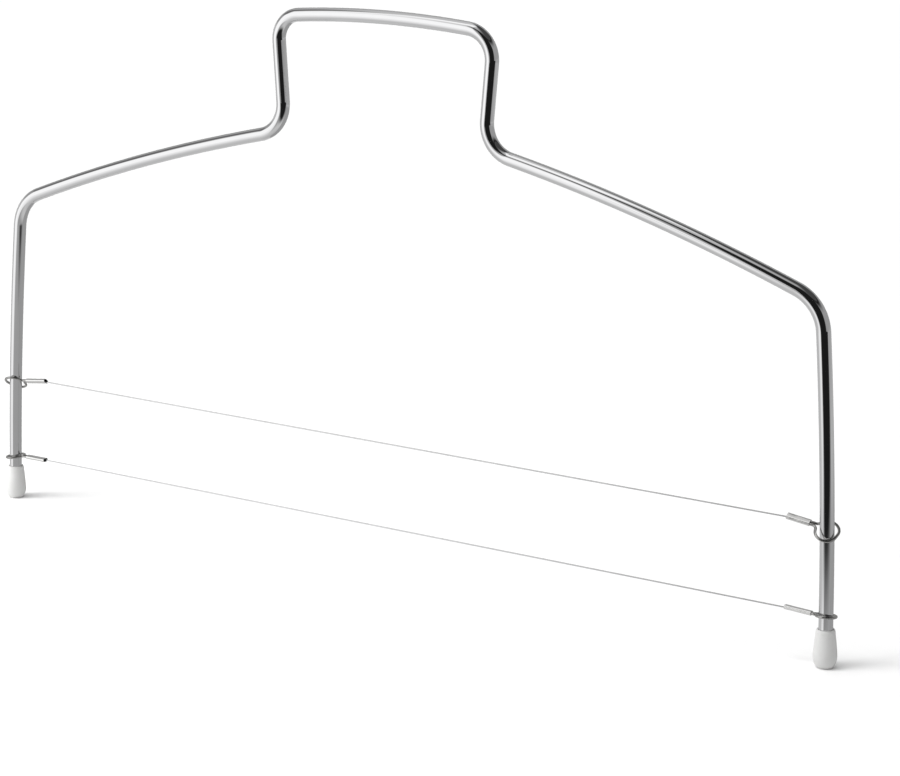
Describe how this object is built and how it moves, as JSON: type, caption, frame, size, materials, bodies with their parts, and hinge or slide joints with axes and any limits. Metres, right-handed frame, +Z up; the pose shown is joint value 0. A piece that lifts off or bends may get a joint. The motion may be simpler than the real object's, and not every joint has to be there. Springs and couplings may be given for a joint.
{
  "type": "cake leveler",
  "caption": "Bent steel rod frame with a handle loop, soft foot caps and taut cutting wires whose end eyes slide up and down the legs to set the height of each layer.",
  "frame": {"origin": "on the table, midway between the feet", "axes": "+X from the left leg to the right leg as seen from the front, +Y away from the viewer through the frame, +Z up along the legs"},
  "size_m": [0.3306, 0.008, 0.19],
  "materials": {
    "rod": "bright chromed steel rod, polished",
    "cap": "white soft plastic cap, satin",
    "cutting_wire": "fine stainless steel wire",
    "ferrule": "bright nickelled tube, crimped flat",
    "eye": "bright nickelled spring wire"
  },
  "bodies": {
    "frame": {"frame_rod": "rod", "left_foot": "cap", "right_foot": "cap"},
    "lower_cutter": {"lower_wire": "cutting_wire"},
    "upper_cutter": {"upper_wire": "cutting_wire"},
    "lower_left_end": {"lower_left_ferrule": "ferrule", "lower_left_eye": "eye"},
    "lower_right_end": {"lower_right_ferrule": "ferrule", "lower_right_eye": "eye"},
    "upper_left_end": {"upper_left_ferrule": "ferrule", "upper_left_eye": "eye"},
    "upper_right_end": {"upper_right_ferrule": "ferrule", "upper_right_eye": "eye"}
  },
  "joints": [
    {"name": "lower_wire_slide", "type": "slide", "parent": "frame", "child": "lower_cutter", "axis": [0, 0, 1], "range_m": [-0.002, 0.012]},
    {"name": "lower_left_end_slide", "type": "slide", "parent": "frame", "child": "lower_left_end", "axis": [0.0391, 0, 0.9992], "range_m": [-0.002, 0.01201]},
    {"name": "lower_right_end_slide", "type": "slide", "parent": "frame", "child": "lower_right_end", "axis": [-0.0395, 0, 0.9992], "range_m": [-0.002, 0.01201]},
    {"name": "upper_wire_slide", "type": "slide", "parent": "frame", "child": "upper_cutter", "axis": [0, 0, 1], "range_m": [-0.009, 0.048]},
    {"name": "upper_left_end_slide", "type": "slide", "parent": "frame", "child": "upper_left_end", "axis": [0.0687, 0, 0.9976], "range_m": [-0.00902, 0.04812]},
    {"name": "upper_right_end_slide", "type": "slide", "parent": "frame", "child": "upper_right_end", "axis": [-0.0679, 0, 0.9977], "range_m": [-0.00902, 0.04811]}
  ],
  "couplings": [
    {"joint": "lower_left_end_slide", "follows": "lower_wire_slide", "ratio": 1.0008},
    {"joint": "lower_right_end_slide", "follows": "lower_wire_slide", "ratio": 1.0008},
    {"joint": "upper_left_end_slide", "follows": "upper_wire_slide", "ratio": 1.0024},
    {"joint": "upper_right_end_slide", "follows": "upper_wire_slide", "ratio": 1.0023}
  ]
}
